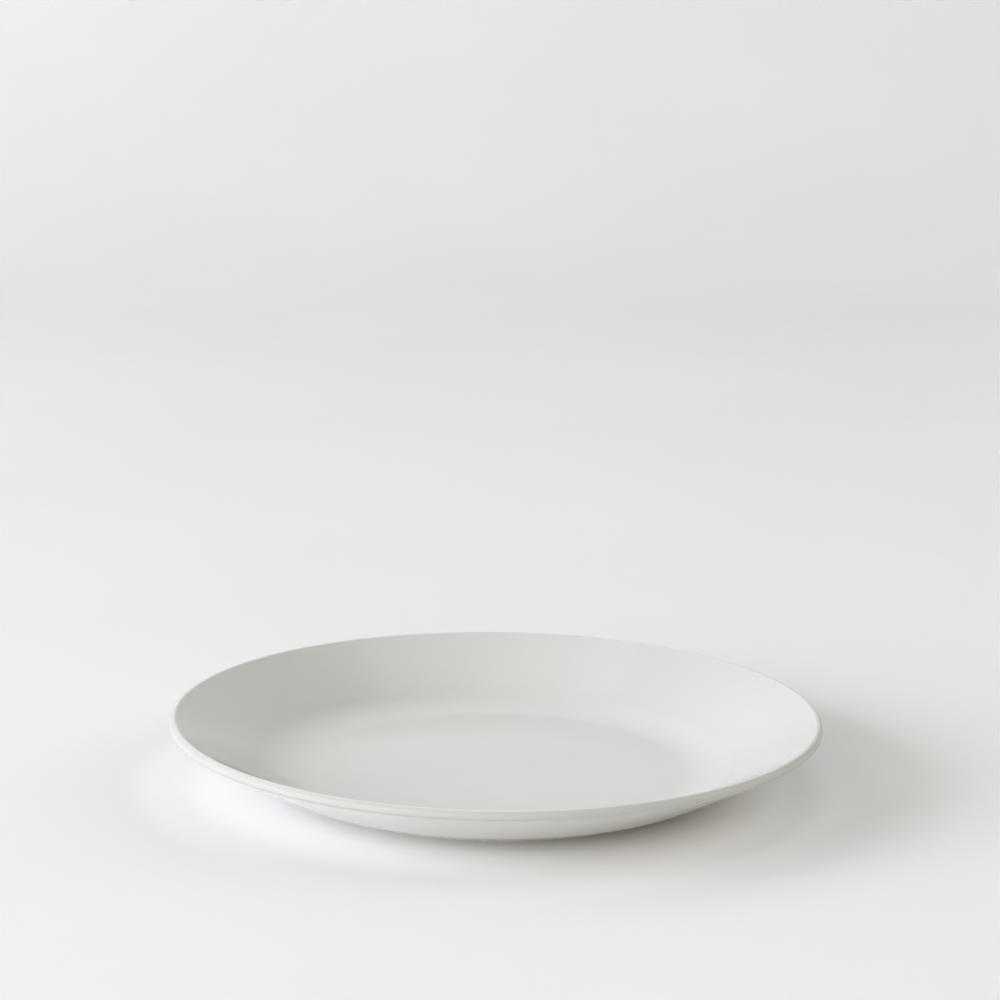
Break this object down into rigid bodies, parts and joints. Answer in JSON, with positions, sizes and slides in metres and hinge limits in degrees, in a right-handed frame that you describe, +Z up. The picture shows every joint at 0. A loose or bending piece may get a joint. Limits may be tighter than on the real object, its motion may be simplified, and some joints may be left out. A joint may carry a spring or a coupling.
{
  "type": "side plate",
  "caption": "Round coupe-style side plate with a flat well, a coved sloping wall, a rounded lip and a low foot ring, for holding food on a table.",
  "frame": {"origin": "on the plate's axis, at the level of the foot land, where it rests on the table", "axes": "+Z up along the plate's axis, out of the well; X and Y in the table plane, either way round"},
  "size_m": [0.18, 0.18, 0.02],
  "materials": {
    "biscuit": "bare fired porcelain, ground matt on the foot",
    "glaze": "plain soft-white glaze, glossy",
    "base_glaze": "plain soft-white glaze, glossy, unmarked"
  },
  "bodies": {
    "root": {"porcelain_body": "biscuit", "face_glaze": "glaze", "base_glaze": "base_glaze"}
  },
  "joints": []
}
